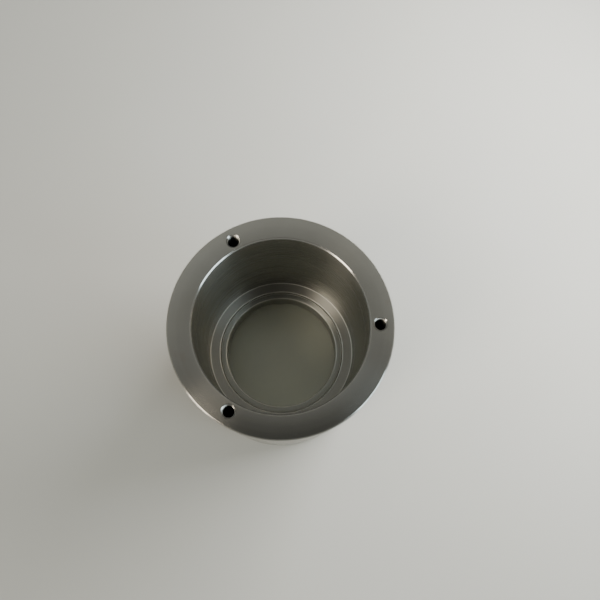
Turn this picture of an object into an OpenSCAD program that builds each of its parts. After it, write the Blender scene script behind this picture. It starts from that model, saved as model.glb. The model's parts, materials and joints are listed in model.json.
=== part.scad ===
// Laser collimator: an open turned barrel with a focusing lens cell inside.
// The cell is pressed down by a wave spring, and an adjusting ring moves it up and down.
// Origin at the centre of the base, +Z along the optical axis towards the open rim.

/* [Barrel] */
// Outside diameter of the barrel
barrel_d = 64; // [63:0.5:66]
// Height from the base to the rim
total_h = 76; // [76:1:110]
// Diameter of the open bore
bore_d = 50; // [49:0.5:51]
// Depth of the open bore, from the rim to the ledge
bore_depth = 46; // [30:1:46]
// Width of the chamfers at the rim
rim_chamfer = 0.4; // [0.2:0.1:0.6]

/* [Rim holes] */
// Number of tapped holes in the rim
rim_hole_count = 3; // [3:1:6]
// Diameter of the circle that the rim holes lie on
rim_hole_pcd = 56; // [56:0.5:57]
// Major diameter of the thread in the rim holes
rim_hole_d = 4; // [3:0.5:4]
// Threaded depth of the rim holes
rim_thread_depth = 9; // [6:1:14]

/* [Lens cell] */
// Diameter of the hole in the ledge
ledge_hole_d = 43; // [42.8:0.1:43.4]
// Thickness of the shoulder below the ledge
shoulder_t = 3.5; // [3:0.5:4]
// Diameter of the clear opening above the lens
cell_clear_d = 38.6; // [38:0.2:39]
// Diameter of the two lenses
lens_d = 40; // [39.6:0.1:40]
// Depth from the ledge to the upper lens's edge
lens_depth = 8; // [7.6:0.1:8]

/* [Focus] */
// Pitch of the adjusting thread
focus_pitch = 0.75; // [0.5:0.25:1]
// Outside diameter of the adjusting ring's thread
focus_thread_d = 52; // [51.6:0.1:52]

/* [Rear plate] */
// Thickness of the rear plate
plate_t = 5; // [5:0.5:6]
// Number of screws that hold the rear plate
plate_screw_count = 3; // [3:1:4]
// Diameter of the protective window
window_d = 30; // [28:1:32]
// Number of tapped holes in the rear plate for the light source
source_hole_count = 4; // [3:1:6]
// Diameter of the circle that those holes lie on
source_hole_pcd = 40; // [39:0.5:42]

/* [Hidden] */
$fn = 96;

fit = 0.05;            // clearance of a turned fit, on the radius
thread_fit = 0.07;     // clearance of a thread, on the radius
neck_fit = 0.08;       // clearance of the cell's neck in the ledge, on the radius
through = 1;           // how far a cutter runs past a face
edge = 0.3;            // small edge chamfer

barrel_r = barrel_d / 2;
bore_r = bore_d / 2;
ledge_z = total_h - bore_depth;
shoulder_z = ledge_z - shoulder_t;
ledge_hole_r = ledge_hole_d / 2;
focus_thread_r = focus_thread_d / 2;

// Lens cell: neck through the ledge, flange in its own bore, skirt inside the adjusting ring
cell_bore_r = focus_thread_r - 1.5;
neck_r = ledge_hole_r - neck_fit;
neck_top_z = ledge_z - 0.8;
neck_chamfer = 0.3;
spring_gap = 2;
flange_r = cell_bore_r - fit;
flange_top_z = shoulder_z - spring_gap;
flange_t = 8.5;
flange_z = flange_top_z - flange_t;
skirt_r = 22.2;
skirt_z = flange_z - 7.7;
cell_clear_r = cell_clear_d / 2;

// Static and moving round seals, drawn at their squeezed section
seal_r = 0.6;
groove_w = 2;
groove_depth = 1.2;
cell_groove_z = flange_top_z - 2.2;

// Lens stack, from the seat in the cell down to its retaining ring
lens_r = lens_d / 2;
lens_bore_r = lens_r + fit;
lens_seat_z = ledge_z - lens_depth;
lens_edge_t = 3;
spacer_h = 2.5;
upper_edge_z = lens_seat_z - lens_edge_t;
lower_seat_z = upper_edge_z - spacer_h;
lower_edge_z = lower_seat_z - lens_edge_t;
lens_seal_h = 0.8;
retainer_top_z = lower_edge_z - lens_seal_h - 0.1;
retainer_h = 3.1;
retainer_r = lens_r + 0.5;
retainer_in_r = lens_r - 1.6;
lens_land = 1.8;       // width of the flat seat round a lens face
curve_steps = 12;      // bands in a lens surface

// Adjusting ring, under the cell's flange with a thrust washer between them
washer_t = 0.5;
washer_r = focus_thread_r - 0.5;
ring_gap = 0.05;
ring_top_z = flange_z - washer_t - ring_gap;
ring_h = 5.3;
ring_in_r = skirt_r + 0.4;
cell_bore_end_z = flange_z + focus_pitch + 0.15;

// Radial screws in the barrel's wall, with a soft pad ahead of each locking screw
lock_count = 3;
lock_screw_r = 1.5;
lock_screw_z = ring_top_z - 2.8;
lock_screw_l = 4;
lock_pad_l = 1;
lock_pad_from_r = focus_thread_r + 0.15;
guide_screw_r = 1.5;
guide_z = flange_z + 2.8;
guide_angle = 270;
dog_r = 1;
dog_tip_r = cell_bore_r - 1.6;
guide_slot_top_z = guide_z + dog_r + focus_pitch + fit;
guide_slot_in_r = dog_tip_r - 0.5;

// Rear plate with its spigot, window and screws
spigot_r = focus_thread_r - 0.1;
spigot_h = 2.5;
plate_top_z = plate_t + spigot_h;
plate_groove_z = plate_t + spigot_h / 2;
plate_screw_pcd = barrel_d - 6;
plate_screw_r = 1.25;
plate_head_r = 2.3;
plate_screw_l = 11;
window_r = window_d / 2;
window_seat_z = 2.2;
window_seal_r = 0.5;
window_t = 2;
window_z = window_seat_z + 2 * window_seal_r;
window_ring_r = window_r + 1;
source_hole_r = 1.5;
source_hole_depth = 5.5;

function at_angles(count, first) = [for (i = [0 : count - 1]) first + i * 360 / count];

// Points of a shallow curved face from the axis out to its flat seat, and on to the edge
function face_curve(r, edge_z, sag) = concat(
    [for (i = [0 : curve_steps]) let (share = i / curve_steps)
        [(r - lens_land) * share, edge_z + sag * (1 - pow(share, 2))]],
    [[r, edge_z]]);

function reversed(points) = [for (i = [len(points) - 1 : -1 : 0]) points[i]];

// A plain ring from one height to another
module ring(outer_r, inner_r, low_z, high_z) {
    translate([0, 0, low_z])
        difference() {
            cylinder(r = outer_r, h = high_z - low_z);
            translate([0, 0, -through])
                cylinder(r = inner_r, h = high_z - low_z + 2 * through);
        }
}

// A round cord bent into a closed ring
module o_ring(centre_r, z, cord_r) {
    translate([0, 0, z])
        rotate_extrude()
            translate([centre_r, 0])
                circle(r = cord_r, $fn = 32);
}

// Straight slots across a ring's face, for a two-pin spanner
module spanner_slots(count, width, inner_r, outer_r, low_z, high_z) {
    for (angle = at_angles(count, 45))
        rotate([0, 0, angle])
            translate([inner_r, -width / 2, low_z])
                cube([outer_r - inner_r, width, high_z - low_z]);
}

// A lens from its two edge heights and the sagitta of each face, positive upward
module lens(r, bottom_z, bottom_sag, top_z, top_sag) {
    rotate_extrude()
        polygon(concat(face_curve(r, bottom_z, bottom_sag), reversed(face_curve(r, top_z, top_sag))));
}

// A radial hole through the barrel's wall, from one radius to another
module radial(angle, z, r, from_r, to_r) {
    rotate([0, 0, angle])
        translate([from_r, 0, z])
            rotate([0, 90, 0])
                cylinder(r = r, h = to_r - from_r, $fn = 48);
}

// A socket set screw along a radius, with its socket facing outwards
module set_screw(angle, z, r, from_r, to_r) {
    socket_r = r * 0.55;
    socket_depth = r * 1.4;
    rotate([0, 0, angle])
        translate([from_r, 0, z])
            rotate([0, 90, 0])
                difference() {
                    union() {
                        cylinder(r1 = r - edge, r2 = r, h = edge, $fn = 48);
                        translate([0, 0, edge])
                            cylinder(r = r, h = to_r - from_r - edge, $fn = 48);
                    }
                    translate([0, 0, to_r - from_r - socket_depth])
                        cylinder(r = socket_r, h = socket_depth + through, $fn = 6);
                }
}

module barrel() {
    blind_tip = 3;
    drill_r = rim_hole_d / 2 - 0.35;
    countersink = 0.25;
    color("silver")
        difference() {
            rotate_extrude()
                polygon([
                    [focus_thread_r, plate_t],
                    [barrel_r - edge, plate_t],
                    [barrel_r, plate_t + edge],
                    [barrel_r, total_h - rim_chamfer],
                    [barrel_r - rim_chamfer, total_h],
                    [bore_r + rim_chamfer, total_h],
                    [bore_r, total_h - rim_chamfer],
                    [bore_r, ledge_z],
                    [ledge_hole_r + edge, ledge_z],
                    [ledge_hole_r, ledge_z - edge],
                    [ledge_hole_r, shoulder_z],
                    [cell_bore_r, shoulder_z],
                    [cell_bore_r, cell_bore_end_z],
                    [focus_thread_r, cell_bore_end_z]
                ]);
            // tapped holes in the rim, countersunk, with the drill's tip below the thread
            for (angle = at_angles(rim_hole_count, 0))
                rotate([0, 0, angle])
                    translate([rim_hole_pcd / 2, 0, total_h]) {
                        translate([0, 0, -rim_thread_depth])
                            cylinder(r = rim_hole_d / 2, h = rim_thread_depth + through, $fn = 48);
                        translate([0, 0, -rim_thread_depth - blind_tip])
                            cylinder(r1 = 0, r2 = drill_r, h = blind_tip / 3, $fn = 48);
                        translate([0, 0, -rim_thread_depth - blind_tip * 2 / 3])
                            cylinder(r = drill_r, h = blind_tip, $fn = 48);
                        translate([0, 0, -countersink])
                            cylinder(r1 = rim_hole_d / 2, r2 = rim_hole_d / 2 + 2 * countersink,
                                h = 2 * countersink, $fn = 48);
                    }
            // holes for the rear plate's screws
            for (angle = at_angles(plate_screw_count, 60))
                rotate([0, 0, angle])
                    translate([plate_screw_pcd / 2, 0, plate_t - through])
                        cylinder(r = plate_screw_r, h = plate_screw_l - plate_t + 2 * through, $fn = 48);
            // radial holes for the locking screws and the guide screw
            for (angle = at_angles(lock_count, 0))
                radial(angle, lock_screw_z, lock_screw_r, focus_thread_r - through, barrel_r + through);
            radial(guide_angle, guide_z, guide_screw_r, cell_bore_r - through, barrel_r + through);
        }
}

module lens_cell() {
    color("gray")
        difference() {
            rotate_extrude()
                polygon([
                    [retainer_r + thread_fit, skirt_z],
                    [skirt_r - edge, skirt_z],
                    [skirt_r, skirt_z + edge],
                    [skirt_r, flange_z],
                    [flange_r, flange_z],
                    [flange_r, cell_groove_z - groove_w / 2],
                    [flange_r - groove_depth, cell_groove_z - groove_w / 2],
                    [flange_r - groove_depth, cell_groove_z + groove_w / 2],
                    [flange_r, cell_groove_z + groove_w / 2],
                    [flange_r, flange_top_z],
                    [neck_r, flange_top_z],
                    [neck_r, neck_top_z - neck_chamfer],
                    [neck_r - neck_chamfer, neck_top_z],
                    [cell_clear_r + neck_chamfer, neck_top_z],
                    [cell_clear_r, neck_top_z - neck_chamfer],
                    [cell_clear_r, lens_seat_z],
                    [lens_bore_r, lens_seat_z],
                    [lens_bore_r, retainer_top_z],
                    [retainer_r + thread_fit, retainer_top_z]
                ]);
            // slot that the guide screw's dog point runs in
            rotate([0, 0, guide_angle])
                translate([guide_slot_in_r, -dog_r - fit, flange_z - through])
                    cube([flange_r, 2 * (dog_r + fit), guide_slot_top_z - flange_z + through]);
        }
}

module upper_lens() {
    color([0.72, 0.78, 0.72, 0.6])
        lens(lens_r, upper_edge_z, -1.3, lens_seat_z, 0.5);
}

module lens_spacer() {
    color("dimgray")
        ring(lens_r, lens_r - 1.3, upper_edge_z - spacer_h, upper_edge_z);
}

module lower_lens() {
    color([0.72, 0.78, 0.72, 0.6])
        lens(lens_r, lower_edge_z, -1.8, lower_seat_z, -1);
}

module lens_seal() {
    color("black")
        ring(lens_r, lens_r - 1.2, lower_edge_z - lens_seal_h, lower_edge_z);
}

module lens_retaining_ring() {
    color("dimgray")
        difference() {
            ring(retainer_r, retainer_in_r, retainer_top_z - retainer_h, retainer_top_z);
            spanner_slots(2, 2, retainer_in_r - through, retainer_r + through,
                retainer_top_z - retainer_h - through, retainer_top_z - retainer_h + 1.2);
        }
}

module cell_o_ring() {
    color("black")
        o_ring(flange_r - groove_depth + seal_r, cell_groove_z, seal_r);
}

// A flat strip bent into waves between the shoulder and the cell's flange
module wave_spring() {
    waves = 4;
    steps = 96;
    strip_t = 0.35;
    inner_r = neck_r + 0.6;
    outer_r = cell_bore_r - 0.4;
    middle_z = (shoulder_z + flange_top_z) / 2;
    swing = spring_gap / 2 - strip_t / 2 - 0.03;
    points = [for (i = [0 : steps - 1]) let (a = 360 * i / steps, z = middle_z + swing * sin(waves * a))
        for (corner = [[inner_r, -1], [outer_r, -1], [outer_r, 1], [inner_r, 1]])
            [corner[0] * cos(a), corner[0] * sin(a), z + corner[1] * strip_t / 2]];
    faces = [for (i = [0 : steps - 1], side = [0 : 3])
        let (here = 4 * i, next = 4 * ((i + 1) % steps), other = (side + 1) % 4)
            [here + side, here + other, next + other, next + side]];
    color("slategray")
        polyhedron(points = points, faces = faces);
}

module guide_screw() {
    from_r = cell_bore_r + 0.2;
    color("dimgray")
        union() {
            set_screw(guide_angle, guide_z, guide_screw_r - fit, from_r, barrel_r - 0.8);
            radial(guide_angle, guide_z, dog_r, dog_tip_r, from_r + edge);
        }
}

module thrust_washer() {
    color("slategray")
        ring(washer_r, skirt_r + 2 * fit, flange_z - washer_t, flange_z);
}

module adjusting_ring() {
    color("goldenrod")
        difference() {
            ring(focus_thread_r - thread_fit, ring_in_r, ring_top_z - ring_h, ring_top_z);
            spanner_slots(4, 3, ring_in_r - through, focus_thread_r,
                ring_top_z - ring_h - through, ring_top_z - ring_h + 2);
        }
}

module locking_pads() {
    color("goldenrod")
        for (angle = at_angles(lock_count, 0))
            radial(angle, lock_screw_z, lock_screw_r - 2 * fit, lock_pad_from_r, lock_pad_from_r + lock_pad_l);
}

module locking_screws() {
    from_r = lock_pad_from_r + lock_pad_l;
    color("dimgray")
        for (angle = at_angles(lock_count, 0))
            set_screw(angle, lock_screw_z, lock_screw_r - fit, from_r, from_r + lock_screw_l);
}

module rear_plate() {
    head_h = plate_head_r - plate_screw_r;
    color("silver")
        difference() {
            rotate_extrude()
                polygon([
                    [window_r - 1.5, 0],
                    [barrel_r - edge, 0],
                    [barrel_r, edge],
                    [barrel_r, plate_t - edge],
                    [barrel_r - edge, plate_t],
                    [spigot_r, plate_t],
                    [spigot_r, plate_groove_z - 0.8],
                    [spigot_r - groove_depth, plate_groove_z - 0.8],
                    [spigot_r - groove_depth, plate_groove_z + 0.8],
                    [spigot_r, plate_groove_z + 0.8],
                    [spigot_r, plate_top_z],
                    [window_ring_r + thread_fit, plate_top_z],
                    [window_ring_r + thread_fit, window_z + window_t],
                    [window_r + fit, window_z + window_t],
                    [window_r + fit, window_seat_z],
                    [window_r - 1.5, window_seat_z]
                ]);
            // countersunk holes for the plate's screws
            for (angle = at_angles(plate_screw_count, 60))
                rotate([0, 0, angle])
                    translate([plate_screw_pcd / 2, 0, 0]) {
                        translate([0, 0, -through])
                            cylinder(r = plate_screw_r, h = plate_t + 2 * through, $fn = 48);
                        cylinder(r1 = plate_head_r + 0.15, r2 = plate_screw_r, h = head_h + 0.15, $fn = 48);
                    }
            // tapped holes for the light source
            for (angle = at_angles(source_hole_count, 45))
                rotate([0, 0, angle])
                    translate([source_hole_pcd / 2, 0, -through])
                        cylinder(r = source_hole_r, h = source_hole_depth + through, $fn = 48);
        }
}

module plate_o_ring() {
    color("black")
        o_ring(spigot_r - groove_depth + seal_r + 0.01, plate_groove_z, seal_r);
}

module plate_screws() {
    head_h = plate_head_r - plate_screw_r;
    sunk = 0.15;
    shank_r = plate_screw_r - fit;
    color("dimgray")
        for (angle = at_angles(plate_screw_count, 60))
            rotate([0, 0, angle])
                translate([plate_screw_pcd / 2, 0, sunk])
                    difference() {
                        union() {
                            cylinder(r1 = plate_head_r - fit, r2 = shank_r, h = head_h, $fn = 48);
                            cylinder(r = shank_r, h = plate_screw_l - sunk, $fn = 48);
                        }
                        translate([0, 0, -through])
                            cylinder(r = 0.85, h = through + 0.9, $fn = 6);
                    }
}

module window_seal() {
    color("black")
        o_ring(window_r - 0.8, window_seat_z + window_seal_r, window_seal_r);
}

module protective_window() {
    color([0.75, 0.82, 0.8, 0.5])
        translate([0, 0, window_z])
            cylinder(r = window_r, h = window_t);
}

module window_retaining_ring() {
    low_z = window_z + window_t;
    color("dimgray")
        difference() {
            ring(window_ring_r, window_r - 1.2, low_z, plate_top_z);
            spanner_slots(2, 2, window_r - 1.2 - through, window_ring_r + through,
                plate_top_z - 1, plate_top_z + through);
        }
}

barrel();
lens_cell();
upper_lens();
lens_spacer();
lower_lens();
lens_seal();
lens_retaining_ring();
cell_o_ring();
wave_spring();
guide_screw();
thrust_washer();
adjusting_ring();
locking_pads();
locking_screws();
rear_plate();
plate_o_ring();
plate_screws();
window_seal();
protective_window();
window_retaining_ring();
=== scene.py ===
"""Looks of the laser collimator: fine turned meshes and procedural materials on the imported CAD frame."""
import json
import math

import bmesh
import bpy
from mathutils import Matrix, Vector


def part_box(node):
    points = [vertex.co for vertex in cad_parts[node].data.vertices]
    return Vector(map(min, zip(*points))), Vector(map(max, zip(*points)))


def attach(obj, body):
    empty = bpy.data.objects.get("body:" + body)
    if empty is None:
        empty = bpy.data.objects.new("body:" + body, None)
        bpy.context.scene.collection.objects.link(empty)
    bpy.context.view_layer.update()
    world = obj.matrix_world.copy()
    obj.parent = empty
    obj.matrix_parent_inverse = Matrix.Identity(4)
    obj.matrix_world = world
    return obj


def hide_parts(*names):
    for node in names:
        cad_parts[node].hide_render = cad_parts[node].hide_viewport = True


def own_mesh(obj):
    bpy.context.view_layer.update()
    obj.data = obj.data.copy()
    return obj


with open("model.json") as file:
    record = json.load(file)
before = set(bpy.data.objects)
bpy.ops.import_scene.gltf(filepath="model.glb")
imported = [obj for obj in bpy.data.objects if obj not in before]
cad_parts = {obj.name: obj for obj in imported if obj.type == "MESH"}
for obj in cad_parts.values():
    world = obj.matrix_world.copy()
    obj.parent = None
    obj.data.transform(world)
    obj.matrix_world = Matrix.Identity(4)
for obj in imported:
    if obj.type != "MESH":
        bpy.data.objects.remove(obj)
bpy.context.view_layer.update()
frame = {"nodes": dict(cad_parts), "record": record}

MM = 0.001
TAU = 2 * math.pi
TURNED_OVER = Matrix.Rotation(math.pi, 4, "X")

MOUNTS = {m["name"]: m["dims"] for m in frame["record"]["mounts"]}
SLOTS = {s["node"]: s["material_slot"] for s in frame["record"]["subparts"]}
BODIES = {node: body for body, nodes in frame["record"]["behaviour"]["bodies"].items() for node in nodes}

# Sizes from the frame
TOTAL_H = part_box("barrel")[1].z
BARREL_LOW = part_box("barrel")[0].z
BARREL_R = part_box("barrel")[1].x
BORE_R = MOUNTS["module_bore"]["r_mm"] * MM
RIM_HOLE_R = MOUNTS["rim_bolts"]["hole_r_mm"] * MM
RIM_HOLE_AT = MOUNTS["rim_bolts"]["pcd_mm"] / 2 * MM
M3_HOLE_R = MOUNTS["source_bolts"]["hole_r_mm"] * MM
SOURCE_HOLE_AT = MOUNTS["source_bolts"]["pcd_mm"] / 2 * MM

# Sizes repeated from the CAD
LEDGE_Z = TOTAL_H - 46 * MM
M2_5_HOLE_R = 1.25 * MM
PLATE_HEAD_R = 2.25 * MM
PLATE_SINK_R = 2.45 * MM
GUIDE_ANGLE = math.radians(270)
GUIDE_THREAD_FROM_R = 24.7 * MM

# Fineness of the meshes
LATHE_STEPS = 288
ROUND_STEPS = 48                # around a small part or hole
SECTION_AT = 35                 # degrees, an azimuth clear of every hole and slot
SHARP_ABOVE = 30                # degrees between faces
MERGE_WITHIN = 0.00005 * MM     # points this close after a cut are one point

# Edges, fits and threads
EDGE_ROUND = 0.08 * MM          # broken edge of a turned part
CORNER_ROUND = 0.35 * MM        # tool-nose radius left in the corner above the ledge
GLASS_BEVEL = 0.2 * MM
FIT = 0.05 * MM                 # gap between a screw's thread and its hole's
THREAD_GAP = 0.01 * MM          # keeps thread cutters off the plain cylinders beside them
THREAD_DEPTH_SHARE = 0.54       # thread depth as a share of its pitch
THREAD_PITCH = {"m4": 0.7 * MM, "m3": 0.5 * MM, "m2_5": 0.45 * MM, "focus": 0.75 * MM, "retainer": 0.5 * MM}


# ---------------------------------------------------------------- mesh helpers

def add_object(name, verts, faces):
    """A mesh object from points and faces."""
    mesh = bpy.data.meshes.new(name)
    mesh.from_pydata(verts, [], faces)
    mesh.validate()
    mesh.update()
    obj = bpy.data.objects.new(name, mesh)
    bpy.context.scene.collection.objects.link(obj)
    return obj


def section(node):
    """A turned CAD part's closed (r, z) outline, anticlockwise, cut through its axis clear of its holes."""
    a = math.radians(SECTION_AT)
    outward = Vector((math.cos(a), math.sin(a), 0))
    across = Vector((-math.sin(a), math.cos(a), 0))
    bm = bmesh.new()
    bm.from_mesh(frame["nodes"][node].data)
    bmesh.ops.remove_doubles(bm, verts=bm.verts, dist=0.001 * MM)
    true_points = {(round(v.co.xy.length, 6), round(v.co.z, 6)) for v in bm.verts}
    sliced = bmesh.ops.bisect_plane(bm, geom=bm.verts[:] + bm.edges[:] + bm.faces[:], dist=0.0001 * MM,
                                    plane_co=(0, 0, 0), plane_no=across)["geom_cut"]
    edges = [e for e in sliced if isinstance(e, bmesh.types.BMEdge)
             and all(v.co.dot(outward) > 0 for v in e.verts)]
    links = {}
    for edge in edges:
        for v, other in (edge.verts, reversed(edge.verts)):
            links.setdefault(v, []).append(other)
    first = here = next(iter(links))
    loop, before = [], None
    while here is not None:
        loop.append(Vector((here.co.dot(outward), here.co.z)))
        onward = [v for v in links[here] if v is not before]
        before, here = here, onward[0]
        if here is first:
            here = None
    bm.free()
    corners = without_straight_points(loop)
    snapped = [Vector(min(true_points, key=lambda p: (p[0] - c.x) ** 2 + (p[1] - c.y) ** 2)) for c in corners]
    area = sum(p.x * q.y - q.x * p.y for p, q in zip(snapped, snapped[1:] + snapped[:1]))
    return snapped if area > 0 else snapped[::-1]


def without_straight_points(loop):
    """The corners of a closed outline: points where it turns by more than a degree."""
    corners = []
    for i, point in enumerate(loop):
        before, after = point - loop[i - 1], loop[(i + 1) % len(loop)] - point
        if min(before.length, after.length) > 1e-9 and before.angle(after) > math.radians(1):
            corners.append(point)
    return corners


def rounded(points, radius, special=(), steps=4):
    """A closed (r, z) outline with each corner turned into a short arc; special lists (corner, radius)."""
    same_corner = 0.05 * MM
    longest_share = 0.45        # of the sides next to the corner
    outline = []
    for i, corner in enumerate(points):
        own = [r for place, r in special if (Vector(place) - corner).length < same_corner]
        before = points[i - 1] - corner
        after = points[(i + 1) % len(points)] - corner
        back = min(own[0] if own else radius, before.length * longest_share, after.length * longest_share)
        start = corner + before.normalized() * back
        end = corner + after.normalized() * back
        for k in range(steps + 1):
            t = k / steps
            outline.append(start * (1 - t) ** 2 + corner * 2 * t * (1 - t) + end * t * t)
    return outline


def spoke(outline, angle, lift=0.0):
    """The points of an (r, z) outline turned to an angle about Z."""
    return [(p[0] * math.cos(angle), p[0] * math.sin(angle), lift + p[1]) for p in outline]


def lathe(name, outline, steps=LATHE_STEPS, lift=lambda angle: 0.0):
    """A closed ring about Z from an anticlockwise (r, z) outline; lift raises it by angle."""
    n = len(outline)
    verts, faces = [], []
    for k in range(steps):
        angle = TAU * k / steps
        verts += spoke(outline, angle, lift(angle))
        here, there = k * n, (k + 1) % steps * n
        faces += [(here + i, there + i, there + (i + 1) % n, here + (i + 1) % n) for i in range(n)]
    return add_object(name, verts, faces)


def disc_solid(name, outline, steps=LATHE_STEPS):
    """A closed solid about Z from an (r, z) outline that starts and ends on the axis, upwards."""
    inner = outline[1:-1]
    n = len(inner)
    verts = [(0, 0, outline[0][1]), (0, 0, outline[-1][1])]
    faces = []
    for k in range(steps):
        verts += spoke(inner, TAU * k / steps)
        here, there = 2 + k * n, 2 + (k + 1) % steps * n
        faces.append((0, there, here))
        faces.append((1, here + n - 1, there + n - 1))
        faces += [(here + i, there + i, there + i + 1, here + i + 1) for i in range(n - 1)]
    return add_object(name, verts, faces)


def threaded_rod(crest_r, pitch, low_z, high_z, origin, columns):
    """A closed cutter about Z with a right-hand thread; threads of one pitch and origin mesh together."""
    root_r = crest_r - THREAD_DEPTH_SHARE * pitch
    # One turn's profile: (height as a share of the pitch, radius)
    rows = [(0, crest_r), (0.125, crest_r), (0.4375, root_r), (0.6875, root_r)]
    per_turn = len(rows)
    start_z = math.floor((low_z + origin) / pitch) * pitch - origin
    turns = math.ceil((high_z - start_z) / pitch) + 1
    count = turns * per_turn
    verts = []
    for i in range(columns):
        a = TAU * i / columns
        for j in range(count + (per_turn if i == 0 else 0)):
            turn, row = divmod(j, per_turn)
            z = start_z + (turn - 1 + rows[row][0] + i / columns) * pitch
            verts.append((rows[row][1] * math.cos(a), rows[row][1] * math.sin(a), z))

    def at(i, j):
        """The number of a point; the column after the last is the first one, a turn higher."""
        if i == columns:
            return j + per_turn
        return j if i == 0 else per_turn + i * count + j

    faces = []
    for i in range(columns):
        for j in range(count - 1):
            faces.append((at(i, j), at(i + 1, j), at(i + 1, j + 1), at(i, j + 1)))
    bottom, top = len(verts), len(verts) + 1
    verts += [(0, 0, start_z - pitch), (0, 0, start_z + turns * pitch)]
    for i in range(columns):
        faces.append((bottom, at(i + 1, 0), at(i, 0)))
        faces.append((top, at(i, count - 1), at(i + 1, count - 1)))
    for j in range(per_turn):
        faces.append((bottom, at(0, j), at(0, j + 1)))
        faces.append((top, at(0, count + j), at(0, count - 1 + j)))
    return add_object("cutter", verts, faces)


def thread_shaper(crest_r, pitch, low_z, high_z, origin=0.0, columns=ROUND_STEPS):
    """A cutter that leaves an outside thread between two heights of a round blank."""
    spare = 0.5 * MM
    inner_r = 0.5 * crest_r
    sleeve = [(inner_r, low_z), (crest_r + spare, low_z), (crest_r + spare, high_z), (inner_r, high_z)]
    shaper = lathe("cutter", sleeve, columns)
    cut(shaper, [threaded_rod(crest_r + THREAD_GAP, pitch, low_z - pitch, high_z + pitch, origin, columns)])
    return shaper


def cut(obj, cutters):
    """Subtracts closed cutters that stand clear of each other, all in one step, and deletes them."""
    if not cutters:
        return
    bm = bmesh.new()
    for cutter in cutters:
        bm.from_mesh(cutter.data)
    bm.to_mesh(cutters[0].data)
    bm.free()
    step = obj.modifiers.new("cut", "BOOLEAN")
    step.operation = "DIFFERENCE"
    step.solver = "EXACT"
    step.object = cutters[0]
    bpy.context.view_layer.update()
    done = bpy.data.meshes.new_from_object(obj.evaluated_get(bpy.context.evaluated_depsgraph_get()))
    obj.modifiers.remove(step)
    bm = bmesh.new()
    bm.from_mesh(done)
    bmesh.ops.remove_doubles(bm, verts=bm.verts, dist=MERGE_WITHIN)
    bm.to_mesh(done)
    bm.free()
    old, obj.data = obj.data, done
    bpy.data.meshes.remove(old)
    for cutter in cutters:
        bpy.data.objects.remove(cutter)


def reach(node):
    """The smallest and largest distance of a CAD node's points from the Z axis."""
    distances = [v.co.xy.length for v in frame["nodes"][node].data.vertices]
    return min(distances), max(distances)


def middle_z(node):
    """The height of the middle of a CAD node's box."""
    low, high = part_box(node)
    return (low.z + high.z) / 2


def placed(obj, matrix):
    """Moves an object's mesh and leaves the object at the origin."""
    obj.data.transform(matrix)
    return obj


def around(count, first=0.0):
    """Angles in radians of equally spaced places; first is in degrees."""
    return [math.radians(first) + TAU * i / count for i in range(count)]


def upright(angle, at_r, z=0.0):
    """Places something on a circle about Z, its own axis upright."""
    return Matrix.Rotation(angle, 4, "Z") @ Matrix.Translation((at_r, 0, z))


def radial(angle, z, from_r):
    """Lays something along a radius, its own +Z pointing outwards."""
    return upright(angle, from_r, z) @ Matrix.Rotation(TAU / 4, 4, "Y")


def copies(obj, matrices):
    """Turns one mesh into several placed copies of itself in one object."""
    bm = bmesh.new()
    for matrix in matrices:
        start = len(bm.verts)
        bm.from_mesh(obj.data)
        bm.verts.ensure_lookup_table()
        bmesh.ops.transform(bm, matrix=matrix, verts=bm.verts[start:])
    bm.to_mesh(obj.data)
    bm.free()
    return obj


def box_solid(low, high):
    """A closed box from its lowest and highest corners, used only to cut slots."""
    xs, ys, zs = zip(low, high)
    verts = [(x, y, z) for x in xs for y in ys for z in zs]
    faces = [(0, 1, 3, 2), (4, 6, 7, 5), (0, 4, 5, 1), (2, 3, 7, 6), (0, 2, 6, 4), (1, 5, 7, 3)]
    return add_object("cutter", verts, faces)


# ---------------------------------------------------------------- holes, slots and screws

def tapped_holes(places, radius, pitch, depth, tip=0.0, origin=0.0):
    """Cutters for threaded holes down from each place: countersunk drillings, then the threads."""
    sink = 0.06 * MM
    above = 0.1 * MM
    drill_point_share = 0.6
    columns = 40 if radius > M3_HOLE_R else 24      # finer in the rim, where they are seen best
    core_r = radius - THREAD_DEPTH_SHARE * pitch + THREAD_GAP
    drill = [(0, -depth - tip - drill_point_share * core_r), (core_r, -depth - tip),
             (core_r, core_r - radius - sink), (radius + sink + above, above), (0, above)]
    drills = [placed(disc_solid("cutter", drill, ROUND_STEPS), place) for place in places]
    threads = [placed(threaded_rod(radius, pitch, -depth, pitch, origin, columns), place) for place in places]
    return drills, threads


def hex_socket(corner_r, depth, top_z):
    """A cutter for a hexagonal key socket with a drilled cone at its bottom."""
    low, above = top_z - depth, 0.5 * MM
    cone_r, cone_h, step = 0.86 * corner_r, 0.35 * corner_r, 0.02 * MM
    outline = [(0, low - cone_h), (cone_r, low), (corner_r, low + step),
               (corner_r, top_z + above), (0, top_z + above)]
    return disc_solid("cutter", outline, 6)


def set_screw(name, radius, length, origin, dog_r=0.0, dog_length=0.0):
    """A set screw along +Z from its point at zero, its key socket at the top, with a dog point if asked."""
    crown, point, dish = 0.15 * MM, 0.4 * radius, 0.12 * MM
    thread_from = 0.1 * MM
    if dog_r:
        tip = [(0, -dog_length), (dog_r - crown, -dog_length), (dog_r, crown - dog_length), (dog_r, 0)]
    else:
        tip = [(0, dish), (radius - point - crown, dish)]
    side = [(radius - point, 0), (radius, point), (radius, length - crown), (radius - crown, length)]
    screw = disc_solid(name, tip + side + [(0, length)], ROUND_STEPS)
    socket = hex_socket(corner_r=0.55 * radius, depth=1.4 * radius, top_z=length)
    cut(screw, [thread_shaper(radius, THREAD_PITCH["m3"], thread_from, length + MM, origin), socket])
    return screw


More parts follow.
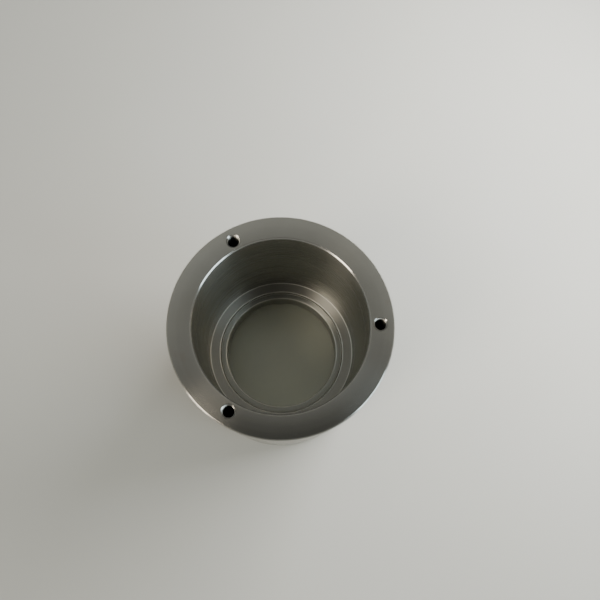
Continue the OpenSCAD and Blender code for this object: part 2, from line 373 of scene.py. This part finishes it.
def countersunk_screw(name, radius, head_r, length, origin):
    """A countersunk socket screw along +Z, with the flat of its head at zero."""
    crown, land = 0.3 * MM, 0.08 * MM
    head_h = head_r - radius
    thread_from = head_h + 1.5 * MM
    outline = [(0, 0), (head_r - land, 0), (head_r, land), (radius, head_h + land), (radius, length - crown),
               (radius - crown, length), (0, length)]
    screw = disc_solid(name, outline, ROUND_STEPS)
    socket = placed(hex_socket(corner_r=0.85 * MM, depth=0.9 * MM, top_z=0), TURNED_OVER)
    cut(screw, [thread_shaper(radius, THREAD_PITCH["m2_5"], thread_from, length + MM, origin), socket])
    return screw


def spanner_slots(node, count, width, low_z, high_z):
    """Cutters for straight slots across a ring, the first at 45 degrees."""
    inner_r, outer_r = reach(node)
    blank = ((inner_r - MM, -width / 2, low_z), (outer_r + MM, width / 2, high_z))
    return [placed(box_solid(*blank), Matrix.Rotation(a, 4, "Z")) for a in around(count, 45)]


# ---------------------------------------------------------------- node trees

class Nodes:
    """Short calls for building the node tree of a material or a world."""

    def __init__(self, owner, shader):
        owner.use_nodes = True
        self.owner = owner
        self.tree = owner.node_tree
        self.shader = self.tree.nodes[shader]

    def add(self, kind, **values):
        node = self.tree.nodes.new(kind)
        for key, value in values.items():
            setattr(node, key, value)
        return node

    def join(self, source, target):
        self.tree.links.new(source, target)

    def give(self, socket, value):
        """Gives a socket a number, a colour or another node's output."""
        if isinstance(value, (int, float)):
            socket.default_value = value
        elif isinstance(value, tuple):
            socket.default_value = (*value, 1)
        else:
            self.join(value, socket)

    def set(self, **values):
        for key, value in values.items():
            self.give(self.shader.inputs[key.replace("_", " ")], value)

    def place(self, kind="Object"):
        return self.add("ShaderNodeTexCoord").outputs[kind]

    def math(self, operation, *values):
        node = self.add("ShaderNodeMath", operation=operation)
        for socket, value in zip(node.inputs, values):
            self.give(socket, value)
        return node.outputs[0]

    def times(self, first, *others):
        for other in others:
            first = self.math("MULTIPLY", first, other)
        return first

    def noise(self, vector, scale, detail, rough):
        node = self.add("ShaderNodeTexNoise")
        node.inputs["Scale"].default_value = scale
        node.inputs["Detail"].default_value = detail
        node.inputs["Roughness"].default_value = rough
        self.join(vector, node.inputs["Vector"])
        return node.outputs["Fac"]

    def ramp(self, value, low, high, from_low, from_high, curve="LINEAR"):
        """Goes from low to high while the value goes from from_low to from_high."""
        node = self.add("ShaderNodeMapRange", interpolation_type=curve)
        node.inputs["From Min"].default_value = from_low
        node.inputs["From Max"].default_value = from_high
        node.inputs["To Min"].default_value = low
        node.inputs["To Max"].default_value = high
        self.join(value, node.inputs["Value"])
        return node.outputs["Result"]

    def mix(self, factor, color_a, color_b):
        node = self.add("ShaderNodeMix", data_type="RGBA")
        self.join(factor, node.inputs["Factor"])
        for name, value in (("A", color_a), ("B", color_b)):
            self.give([s for s in node.inputs if s.name == name and s.type == "RGBA"][0], value)
        return [s for s in node.outputs if s.type == "RGBA"][0]

    def bump(self, height, distance, strength):
        node = self.add("ShaderNodeBump")
        node.inputs["Distance"].default_value = distance
        node.inputs["Strength"].default_value = strength
        self.join(height, node.inputs["Height"])
        return node.outputs["Normal"]

    def parts(self, vector):
        node = self.add("ShaderNodeSeparateXYZ")
        self.join(vector, node.inputs[0])
        return node.outputs

    def radius(self, x, y):
        """The distance from the Z axis."""
        return self.math("SQRT", self.math("ADD", self.times(x, x), self.times(y, y)))

    def turning(self):
        """A coordinate that changes across the turning marks and hardly along them."""
        along_share = 0.000012
        x, y, z = self.parts(self.place())
        out = self.radius(x, y)
        angle = self.times(self.math("ARCTAN2", y, x), along_share)
        joined = self.add("ShaderNodeCombineXYZ")
        for source, target in zip((out, z, angle), joined.inputs):
            self.join(source, target)
        return joined.outputs[0]

    def tangent(self):
        return self.add("ShaderNodeTangent", direction_type="RADIAL", axis="Z").outputs[0]


# ---------------------------------------------------------------- camera, world and lights

def make_camera():
    """Looks down into the bore from a little south of the axis, with a 53 degree view."""
    eye = Vector((1.0, -35.5, 240.0)) * MM
    target = Vector((7.3, 26.4, 0.0)) * MM
    back = (eye - target).normalized()
    right = Vector((0, 1, 0)).cross(back).normalized()
    up = back.cross(right)
    data = bpy.data.cameras.new("camera")
    data.sensor_width, data.lens = 36, 36
    data.clip_start, data.clip_end = 0.005, 20
    cam = bpy.data.objects.new("camera", data)
    cam.matrix_world = Matrix((right, up, back)).transposed().to_4x4()
    cam.location = eye
    bpy.context.scene.collection.objects.link(cam)
    bpy.context.scene.camera = cam


def area_light(name, azimuth, elevation, distance, size, power, color, mirrored=True):
    """A soft rectangular lamp aimed at the collimator's middle."""
    a, e = math.radians(azimuth), math.radians(elevation)
    aim = Vector((0, 0, TOTAL_H / 2))
    out = Vector((math.cos(a) * math.cos(e), math.sin(a) * math.cos(e), math.sin(e)))
    data = bpy.data.lights.new(name, "AREA")
    data.shape = "RECTANGLE"
    data.size, data.size_y = size
    data.energy = power
    data.color = color
    lamp = bpy.data.objects.new(name, data)
    lamp.location = aim + out * distance
    lamp.visible_glossy = mirrored
    lamp.rotation_mode = "QUATERNION"
    lamp.rotation_quaternion = out.to_track_quat("Z", "Y")
    bpy.context.scene.collection.objects.link(lamp)


def make_world():
    """A pale studio, darker towards the horizon and on one side overhead."""
    horizon, overhead, dim = (0.16, 0.16, 0.15), (0.495, 0.50, 0.455), (0.045, 0.045, 0.04)
    upwards, dim_side = Vector((0, 0, 1)), Vector((0, -0.3, 0.95))
    world = bpy.data.worlds.new("studio")
    bpy.context.scene.world = world
    n = Nodes(world, "Background")
    place = n.place("Generated")

    def toward(direction, low, high, color_a, color_b):
        """From one colour to the other as the view turns towards a direction."""
        turn = n.add("ShaderNodeVectorMath", operation="DOT_PRODUCT")
        turn.inputs[1].default_value = direction
        n.join(place, turn.inputs[0])
        return n.mix(n.ramp(turn.outputs["Value"], 0, 1, low, high, "SMOOTHSTEP"), color_a, color_b)

    room = toward(upwards, 0.0, 0.6, horizon, overhead)
    n.set(Color=toward(dim_side, 0.72, 0.99, room, dim), Strength=0.8)


def make_lights():
    """Two windows that mirror in the metal, and two softer fills that don't."""
    far, near = 1.5, 0.27
    white = (1.0, 0.99, 0.95)
    area_light("warm", azimuth=216, elevation=36, distance=far, size=(0.45, 1.4), power=15.5,
               color=(1.0, 0.90, 0.74))
    area_light("cool", azimuth=332, elevation=26, distance=far, size=(0.75, 1.4), power=13.5,
               color=(0.78, 0.94, 1.0))
    area_light("sky", azimuth=100, elevation=72, distance=far, size=(1.0, 1.0), power=2.5,
               color=white, mirrored=False)
    area_light("room", azimuth=32, elevation=30, distance=near, size=(0.26, 0.12), power=2.2,
               color=white, mirrored=False)


# ---------------------------------------------------------------- materials

def new_material(name):
    """The nodes of a new material."""
    return Nodes(bpy.data.materials.new(name), "Principled BSDF")


def turned_metal(name, light, dark, face_rough, bore_rough, rim_gloss=1.0, painted_shade=0.0):
    """Lathe-turned metal: feed lines, tool bands and faint stains, glossier along a bore than across a face.

    rim_gloss scales the roughness of the top face. The last argument, from 0 to 1, is painted shade: it
    paints the rim's holes black and paints a darker shade on the metal more than a millimetre below the rim.
    Slanted broken edges below the rim get a painted highlight.
    """
    feed_width = 0.3 * MM
    stain_tint = (1.0, 0.86, 0.76)
    # Colours of painted light: darker painted shade below the rim, a painted highlight on broken edges, black
    # painted shade in the rim's holes
    bore_shade_color, bore_shade_share = (0.13, 0.13, 0.10), 0.3
    edge_highlight_color, edge_rough = (0.85, 0.84, 0.80), 0.15
    hole_shade_color = (0.03, 0.03, 0.028)
    n = new_material(name)
    place = n.place()
    across = n.turning()
    x, y, z = n.parts(place)
    out = n.radius(x, y)
    facing = n.math("ABSOLUTE", n.parts(n.add("ShaderNodeNewGeometry").outputs["Normal"])[2])

    def by_depth(deep_value, deep_mm, high_value, high_mm):
        """A value that changes between two depths below the rim."""
        return n.ramp(z, deep_value, high_value, TOTAL_H - deep_mm * MM, TOTAL_H - high_mm * MM)

    feed = n.noise(across, 1 / feed_width, 3.0, 0.65)
    bands = n.noise(across, 0.1 / feed_width, 2.0, 0.5)
    stains = n.noise(place, 70, 4.0, 0.6)
    tone = n.math("ADD", n.times(bands, 0.5), n.times(stains, 0.5))
    metal = n.mix(n.ramp(tone, 0, 1, 0.35, 0.65), dark, light)
    stained = tuple(c * t for c, t in zip(dark, stain_tint))
    metal = n.mix(n.ramp(stains, 0, 0.35, 0.62, 0.75), metal, stained)

    # Masks of painted light: black painted shade inside the rim's holes, darker painted shade on the metal
    # below the rim, and a painted highlight on slanted broken edges below it
    in_hole = n.times(n.ramp(out, 0, 1, BORE_R + 0.6 * MM, BORE_R + 0.8 * MM),
                      n.ramp(out, 1, 0, BARREL_R - 1.2 * MM, BARREL_R - 0.6 * MM),
                      by_depth(painted_shade, 2.2, 0, 0.1), by_depth(0, 16, 1, 14))
    dust_film_and_shade = n.times(n.ramp(facing, 1, 0.5, 0.3, 0.9), by_depth(painted_shade * bore_shade_share, 6, 0, 1))
    broken = n.times(n.ramp(facing, 0, 1, 0.1, 0.3), n.ramp(facing, 1, 0, 0.95, 0.99), by_depth(1, 3, 0, 2))

    rough = n.times(n.ramp(facing, bore_rough, face_rough, 0.2, 0.95), n.ramp(feed, 0.94, 1.06, 0.3, 0.7),
                    by_depth(1, 0.5, rim_gloss, 0))
    # Painted shade: the metal more than a millimetre below the rim is darkened
    metal = n.mix(dust_film_and_shade, metal, bore_shade_color)
    # Painted highlight: slanted broken edges below the rim are lightened
    metal = n.mix(broken, metal, edge_highlight_color)
    # Painted shade: the rim's holes are painted black
    n.set(Base_Color=n.mix(in_hole, metal, hole_shade_color), Metallic=1.0,
          Roughness=n.math("ADD", rough, n.times(broken, edge_rough)),
          Anisotropic=0.9, Anisotropic_Rotation=0.25, Tangent=n.tangent(),
          Normal=n.bump(feed, 0.006 * MM, 0.12))
    return n.owner


def dark_metal(name, color, rough):
    """Black oxide or anodised metal with a fine grain and paler worn places."""
    worn = tuple(1.9 * c for c in color)
    n = new_material(name)
    place = n.place()
    grain = n.noise(place, 4000, 3.0, 0.6)
    wear = n.noise(place, 500, 3.0, 0.6)
    n.set(Base_Color=n.mix(n.ramp(wear, 0, 1, 0.45, 0.75), color, worn), Metallic=1.0,
          Roughness=n.ramp(wear, rough * 0.85, rough * 1.2, 0.3, 0.7), Normal=n.bump(grain, 0.01 * MM, 0.4))
    return n.owner


def rubber(name):
    """Black nitrile with a fine matt grain."""
    n = new_material(name)
    grain = n.noise(n.place(), 2500, 4.0, 0.6)
    n.set(Base_Color=n.mix(grain, (0.012, 0.012, 0.012), (0.03, 0.03, 0.028)), Roughness=0.55,
          Normal=n.bump(grain, 0.01 * MM, 0.5))
    return n.owner


def glass(name, tint, rough, haze, radius):
    """Coated optical glass under a thin layer of dust, with a ground edge."""
    dusty = tuple(c * 0.92 for c in tint)
    n = new_material(name)
    place = n.place()
    dust_film_and_shade = n.noise(place, 90, 3.0, 0.5)
    x, y, z = n.parts(place)
    ground = n.ramp(n.radius(x, y), 0, 0.5, radius - 0.3 * MM, radius - 0.1 * MM)
    n.set(Base_Color=n.mix(dust_film_and_shade, tint, dusty), Metallic=0.0, IOR=1.5, Transmission_Weight=1 - haze,
          Specular_IOR_Level=0.15,
          Roughness=n.math("ADD", n.ramp(dust_film_and_shade, rough * 0.85, rough * 1.2, 0.4, 0.7), ground))
    return n.owner


def floor_laminate():
    """Pale laminate with a faint mottle."""
    n = new_material("floor_laminate")
    cloud = n.noise(n.place(), 12, 3.0, 0.5)
    n.set(Base_Color=n.mix(cloud, (0.40, 0.40, 0.375), (0.43, 0.43, 0.41)), Roughness=0.6)
    return n.owner


# ---------------------------------------------------------------- pieces

def finish(obj, node):
    """Shading, the material of its slot and the body of the piece that stands for a CAD node, whose CAD part
    it hides.
    """
    obj.data.shade_smooth()
    obj.data.set_sharp_from_angle(angle=math.radians(SHARP_ABOVE))
    slot = SLOTS[node]
    obj.data.materials.clear()
    obj.data.materials.append(MATERIALS[slot])
    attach(obj, BODIES[node])
    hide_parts(node)


def turned(node, edge=EDGE_ROUND, special=(), cutters=(), tapped=()):
    """A plain turned part: the CAD section with broken edges, spun finely, with its holes and slots cut."""
    part = lathe(node + "_part", rounded(section(node), edge, special))
    cut(part, [*cutters, *(drill for drills, threads in tapped for drill in drills)])
    cut(part, [thread for drills, threads in tapped for thread in threads])
    finish(part, node)


def make_barrel():
    """The barrel, with three tapped holes in its rim, four in its wall and three in its base."""
    rim = [upright(a, RIM_HOLE_AT, TOTAL_H) for a in around(MOUNTS["rim_bolts"]["count"])]
    wall = [radial(a, middle_z("locking_screws"), BARREL_R) for a in LOCKING_ANGLES]
    wall.append(radial(GUIDE_ANGLE, middle_z("guide_screw"), BARREL_R))
    base = [upright(a, PLATE_SCREW_AT, BARREL_LOW) @ TURNED_OVER for a in PLATE_SCREW_ANGLES]
    turned("barrel", special=[((BORE_R, LEDGE_Z), CORNER_ROUND)], tapped=[
        tapped_holes(rim, RIM_HOLE_R, THREAD_PITCH["m4"], depth=9 * MM, tip=2 * MM),
        tapped_holes(wall, M3_HOLE_R, THREAD_PITCH["m3"], depth=8 * MM, origin=BARREL_R),
        tapped_holes(base, M2_5_HOLE_R, THREAD_PITCH["m2_5"], depth=7 * MM),
    ])


def make_lens_cell():
    """The lens cell, with the slot that keeps it from turning."""
    half_width = 1.05 * MM
    travel = 0.8 * MM
    flange_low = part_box("thrust_washer")[1].z
    slot = box_solid((DOG_TIP_R - 0.5 * MM, -half_width, flange_low - MM),
                     (BORE_R, half_width, middle_z("guide_screw") + half_width + travel))
    turned("lens_cell", cutters=[placed(slot, Matrix.Rotation(GUIDE_ANGLE, 4, "Z"))])


def make_threaded_ring(node, pitch, slots):
    """A ring with an outside thread and spanner slots."""
    low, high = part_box(node)
    shaper = thread_shaper(high.x, pitch, low.z - MM, high.z + MM, columns=108)
    ring = lathe(node + "_part", rounded(section(node), 0.3 * MM))
    cut(ring, [shaper])
    cut(ring, slots)
    finish(ring, node)


def make_adjusting_ring():
    """The focusing ring, slotted in its underside for a spanner."""
    node = "adjusting_ring"
    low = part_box(node)[0].z
    make_threaded_ring(node, THREAD_PITCH["focus"], spanner_slots(node, 4, 3 * MM, low - MM, low + 2 * MM))


def make_retaining_rings():
    """The lens ring is slotted in its underside, the window ring in its top."""
    width = 2 * MM
    node = "lens_retaining_ring"
    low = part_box(node)[0].z
    make_threaded_ring(node, THREAD_PITCH["retainer"],
                       spanner_slots(node, 2, width, low - MM, low + 1.2 * MM))
    node = "window_retaining_ring"
    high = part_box(node)[1].z
    make_threaded_ring(node, THREAD_PITCH["retainer"],
                       spanner_slots(node, 2, width, high - MM, high + MM))


def make_lens(node, bottom_sag, top_sag):
    """A lens with two polished faces, flat seats and ground bevels; sagittas are positive upward."""
    steps, land, bevel = 48, 1.8 * MM, GLASS_BEVEL
    low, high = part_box(node)
    radius = high.x
    bottom, top = low.z - min(bottom_sag, 0), high.z - max(top_sag, 0)
    curve = [(radius - land) * k / steps for k in range(steps + 1)]
    outline = [(r, bottom + bottom_sag * (1 - (r / curve[-1]) ** 2)) for r in curve]
    outline += [(radius - bevel, bottom), (radius, bottom + bevel)]
    outline += [(radius, top - bevel), (radius - bevel, top)]
    outline += [(r, top + top_sag * (1 - (r / curve[-1]) ** 2)) for r in reversed(curve)]
    finish(disc_solid(node + "_part", outline), node)


def make_window():
    """The flat protective window with ground bevels."""
    bevel = GLASS_BEVEL
    low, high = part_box("protective_window")
    radius = high.x
    outline = [(0, low.z), (radius - bevel, low.z), (radius, low.z + bevel), (radius, high.z - bevel),
               (radius - bevel, high.z), (0, high.z)]
    finish(disc_solid("protective_window_part", outline), "protective_window")


def make_spacer():
    """The spacer between the lenses, grooved inside so that it scatters no light."""
    groove, pitch = 0.18 * MM, 0.25 * MM
    (inner_r, outer_r), (low, high) = reach("lens_spacer"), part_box("lens_spacer")
    outline = [Vector((outer_r, low.z)), Vector((outer_r, high.z))]
    for k in range(round((high.z - low.z) / pitch)):
        top = high.z - k * pitch
        outline += [Vector((inner_r, top)), Vector((inner_r + groove, top - pitch / 2))]
    outline.append(Vector((inner_r, low.z)))
    finish(lathe("lens_spacer_part", outline), "lens_spacer")


def make_rear_plate():
    """The rear plate, with countersunk holes for its own screws and tapped ones for the light source."""
    above = 0.2 * MM
    hole = [(0, -above), (PLATE_SINK_R + above, -above), (M2_5_HOLE_R, PLATE_SINK_R - M2_5_HOLE_R),
            (M2_5_HOLE_R, BARREL_LOW + MM), (0, BARREL_LOW + MM)]
    holes = [placed(disc_solid("cutter", hole, ROUND_STEPS), upright(a, PLATE_SCREW_AT))
             for a in PLATE_SCREW_ANGLES]
    source = [upright(a, SOURCE_HOLE_AT) @ TURNED_OVER for a in around(MOUNTS["source_bolts"]["count"], 45)]
    turned("rear_plate", cutters=holes,
           tapped=[tapped_holes(source, M3_HOLE_R, THREAD_PITCH["m3"], depth=5 * MM, tip=0.2 * MM)])


def make_wave_spring():
    """A flat strip bent into waves, with a mesh of its own."""
    waves, steps = 4, 384
    strip_t, soft = 0.35 * MM, 0.08 * MM
    (inner_r, outer_r), (low, high) = reach("wave_spring"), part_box("wave_spring")
    centre_z = middle_z("wave_spring")
    swing = (high.z - low.z - strip_t) / 2
    half = strip_t / 2
    strip = [Vector(p) for p in ((inner_r, -half), (outer_r, -half), (outer_r, half), (inner_r, half))]
    spring = lathe("wave_spring_part", rounded(strip, soft, steps=2), steps,
                   lift=lambda angle: centre_z + swing * math.sin(waves * angle))
    finish(spring, "wave_spring")
    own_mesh(spring)


def make_screws():
    """The locking screws with their pads, the guide screw and the rear plate's screws."""
    pad_r, bevel = 1.4 * MM, 0.15 * MM
    m3_r = M3_HOLE_R - FIT
    pad_from, pad_to = reach("locking_pads")[0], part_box("locking_pads")[1].x
    length = pad_to - pad_from
    outline = [(0, 0), (pad_r - bevel, 0), (pad_r, bevel), (pad_r, length - bevel), (pad_r - bevel, length),
               (0, length)]
    pad = disc_solid("locking_pads_part", outline, ROUND_STEPS)
    places = [radial(a, middle_z("locking_pads"), pad_from) for a in LOCKING_ANGLES]
    finish(copies(pad, places), "locking_pads")

    screw_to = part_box("locking_screws")[1].x
    screw = set_screw("locking_screws_part", m3_r, screw_to - pad_to, origin=pad_to)
    places = [radial(a, middle_z("locking_screws"), pad_to) for a in LOCKING_ANGLES]
    finish(copies(screw, places), "locking_screws")

    guide_to = reach("guide_screw")[1]
    guide = set_screw("guide_screw_part", m3_r, guide_to - GUIDE_THREAD_FROM_R, origin=GUIDE_THREAD_FROM_R,
                      dog_r=MM, dog_length=GUIDE_THREAD_FROM_R - DOG_TIP_R)
    place = radial(GUIDE_ANGLE, middle_z("guide_screw"), GUIDE_THREAD_FROM_R)
    finish(placed(guide, place), "guide_screw")

    low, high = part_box("plate_screws")
    plate_screw = countersunk_screw("plate_screws_part", M2_5_HOLE_R - FIT, head_r=PLATE_HEAD_R,
                                    length=high.z - low.z, origin=low.z)
    places = [upright(a, PLATE_SCREW_AT, low.z) for a in PLATE_SCREW_ANGLES]
    finish(copies(plate_screw, places), "plate_screws")


def make_floor():
    """A plain floor just under the base."""
    half, z = 2, -0.02 * MM
    floor = add_object("floor", [(-half, -half, z), (half, -half, z), (half, half, z), (-half, half, z)],
                       [(0, 1, 2, 3)])
    floor.data.materials.append(floor_laminate())


# ---------------------------------------------------------------- the scene

LOCKING_ANGLES = around(3)
PLATE_SCREW_ANGLES = around(3, 60)
DOG_TIP_R = reach("guide_screw")[0]
PLATE_SCREW_AT = sum(reach("plate_screws")) / 2

MATERIALS = {
    # Every turned metal gets a painted highlight on slanted edges; the barrel's steel also carries painted
    # shade in its rim's holes and below its rim
    "turned_steel": turned_metal("turned_steel", (0.58, 0.57, 0.54), (0.50, 0.49, 0.46), 0.38, 0.265,
                                 rim_gloss=0.5, painted_shade=1.0),
    "cell_steel": turned_metal("cell_steel", (0.51, 0.515, 0.48), (0.44, 0.445, 0.41), 0.37, 0.30),
    "lens_glass": glass("lens_glass", (0.86, 0.88, 0.75), 0.2, 0.5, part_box("upper_lens")[1].x),
    "window_glass": glass("window_glass", (0.95, 0.97, 0.96), 0.02, 0.02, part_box("protective_window")[1].x),
    "black_aluminium": dark_metal("black_aluminium", (0.03, 0.03, 0.03), 0.5),
    "seal_rubber": rubber("seal_rubber"),
    "spring_steel": turned_metal("spring_steel", (0.52, 0.52, 0.52), (0.44, 0.44, 0.44), 0.28, 0.28),
    "screw_steel": dark_metal("screw_steel", (0.09, 0.09, 0.095), 0.38),
    "ring_brass": turned_metal("ring_brass", (0.80, 0.62, 0.32), (0.72, 0.54, 0.26), 0.30, 0.26),
}

make_camera()
make_world()
make_lights()
make_barrel()
make_lens_cell()
make_lens("upper_lens", bottom_sag=-1.3 * MM, top_sag=0.5 * MM)
make_spacer()
make_lens("lower_lens", bottom_sag=-1.8 * MM, top_sag=-1.0 * MM)
turned("lens_seal", edge=0.2 * MM)
make_adjusting_ring()
make_retaining_rings()
turned("thrust_washer")
make_wave_spring()
make_screws()
make_rear_plate()
make_window()
for seal in ("cell_o_ring", "plate_o_ring", "window_seal"):
    turned(seal)
make_floor()
